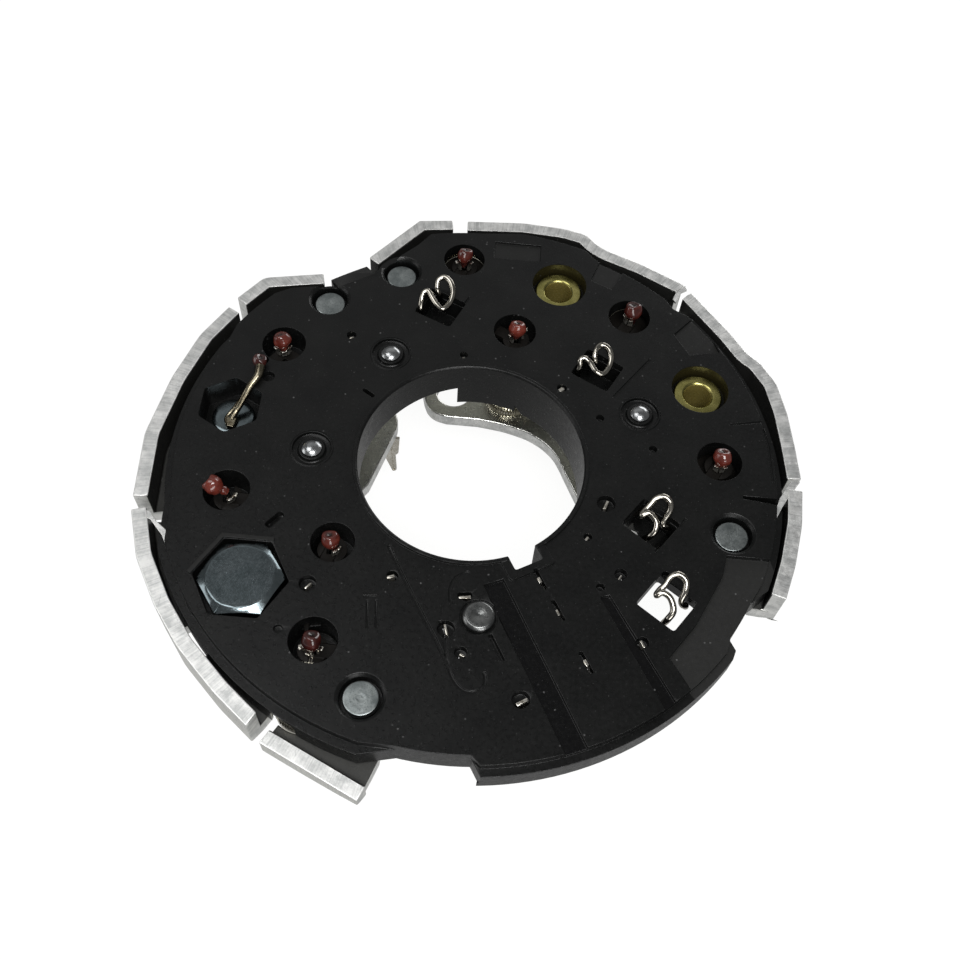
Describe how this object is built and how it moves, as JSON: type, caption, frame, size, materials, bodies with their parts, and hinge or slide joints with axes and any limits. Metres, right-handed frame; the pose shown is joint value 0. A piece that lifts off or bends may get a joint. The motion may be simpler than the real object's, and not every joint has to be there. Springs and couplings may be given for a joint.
{
  "type": "alternator rectifier",
  "caption": "Ring-shaped alternator rectifier: black moulded terminal board on two aluminium heat sinks, press-fit diodes, wire clips, output stud and mounting bushes.",
  "frame": {"origin": "on the axis of the shaft hole, at the top face of the terminal board", "axes": "+Z along the shaft axis, out of the board's top face; +X to the right in the picture, with the output stud at -X, -Y; the heat sinks lie below"},
  "size_m": [0.1459, 0.1482, 0.0557],
  "materials": {
    "black_moulding": "satin black glass-filled moulding with fine speckle",
    "raw_aluminium": "raw stamped aluminium, mottled, with shear marks on cut faces",
    "plated_copper_cup": "nickel-plated copper, knurled outer wall",
    "tinned_wire": "bright tinned copper wire",
    "red_lacquer": "glossy red-brown lacquer",
    "tinned_strip": "tinned copper strip",
    "zinc_plated_steel": "blue-white zinc plating",
    "rivet_steel": "plain steel with turned marks",
    "yellow_chromate_steel": "zinc plating with yellow-green chromate",
    "insulating_plastic": "dark insulating plastic"
  },
  "bodies": {
    "root": {"terminal_board": "black_moulding", "outer_heat_sink": "raw_aluminium", "inner_heat_sink": "raw_aluminium", "diode_1_cup": "plated_copper_cup", "diode_1_lead": "tinned_wire", "lacquer_bead_1": "red_lacquer", "diode_2_cup": "plated_copper_cup", "diode_2_lead": "tinned_wire", "lacquer_bead_2": "red_lacquer", "diode_3_cup": "plated_copper_cup", "diode_3_lead": "tinned_wire", "lacquer_bead_3": "red_lacquer", "diode_4_cup": "plated_copper_cup", "diode_4_lead": "tinned_wire", "lacquer_bead_4": "red_lacquer", "diode_5_cup": "plated_copper_cup", "diode_5_lead": "tinned_wire", "lacquer_bead_5": "red_lacquer", "diode_6_cup": "plated_copper_cup", "diode_6_lead": "tinned_wire", "lacquer_bead_6": "red_lacquer", "diode_7_cup": "plated_copper_cup", "diode_7_lead": "tinned_wire", "lacquer_bead_7": "red_lacquer", "diode_8_cup": "plated_copper_cup", "diode_8_lead": "tinned_wire", "lacquer_bead_8": "red_lacquer", "phase_strip_1": "tinned_strip", "stator_clip_1": "tinned_wire", "rivet_1": "rivet_steel", "phase_strip_2": "tinned_strip", "stator_clip_2": "tinned_wire", "rivet_2": "rivet_steel", "phase_strip_3": "tinned_strip", "stator_clip_3": "tinned_wire", "rivet_3": "rivet_steel", "phase_strip_4": "tinned_strip", "stator_clip_4": "tinned_wire", "rivet_4": "rivet_steel", "b_plus_bolt": "zinc_plated_steel", "b_plus_nut": "zinc_plated_steel", "b_plus_insulator": "insulating_plastic", "w_stud": "zinc_plated_steel", "w_lead": "tinned_wire", "w_post": "tinned_wire", "mounting_bush_1": "yellow_chromate_steel", "bush_insulator_1": "insulating_plastic", "rivet_spacer_1": "insulating_plastic", "mounting_bush_2": "yellow_chromate_steel", "bush_insulator_2": "insulating_plastic", "rivet_spacer_2": "insulating_plastic", "dome_rivet_1": "rivet_steel", "dome_rivet_2": "rivet_steel", "dome_rivet_3": "rivet_steel", "contact_pin": "rivet_steel", "blade_terminal": "tinned_strip"}
  },
  "joints": []
}
